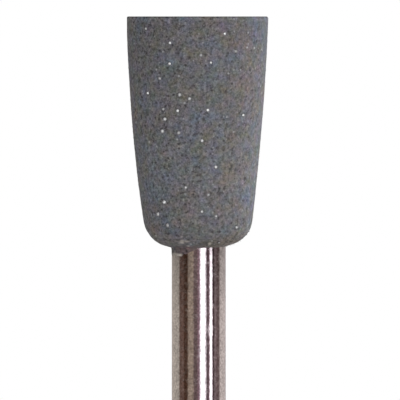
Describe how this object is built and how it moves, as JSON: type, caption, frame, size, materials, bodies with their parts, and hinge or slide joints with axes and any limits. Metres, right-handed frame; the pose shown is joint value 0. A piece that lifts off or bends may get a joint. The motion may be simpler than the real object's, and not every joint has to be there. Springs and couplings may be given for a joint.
{
  "type": "dental polishing cup",
  "caption": "Grey abrasive rubber polishing cup with a hollow rim, moulded onto a straight polished steel mandrel for a dental handpiece.",
  "frame": {"origin": "centre of the plane of the cup's rim, on the mandrel's axis", "axes": "+Z along the mandrel, from the cup's rim towards the end that the handpiece grips; +X towards the higher side of the rubber film on the shank"},
  "size_m": [0.0062, 0.0062, 0.0445],
  "materials": {
    "abrasive_rubber": "matt grey rubber filled with abrasive grit, with dark pores and glinting crystals",
    "polished_steel": "ground and polished stainless steel"
  },
  "bodies": {
    "root": {"abrasive_cup": "abrasive_rubber", "mandrel": "polished_steel"}
  },
  "joints": []
}
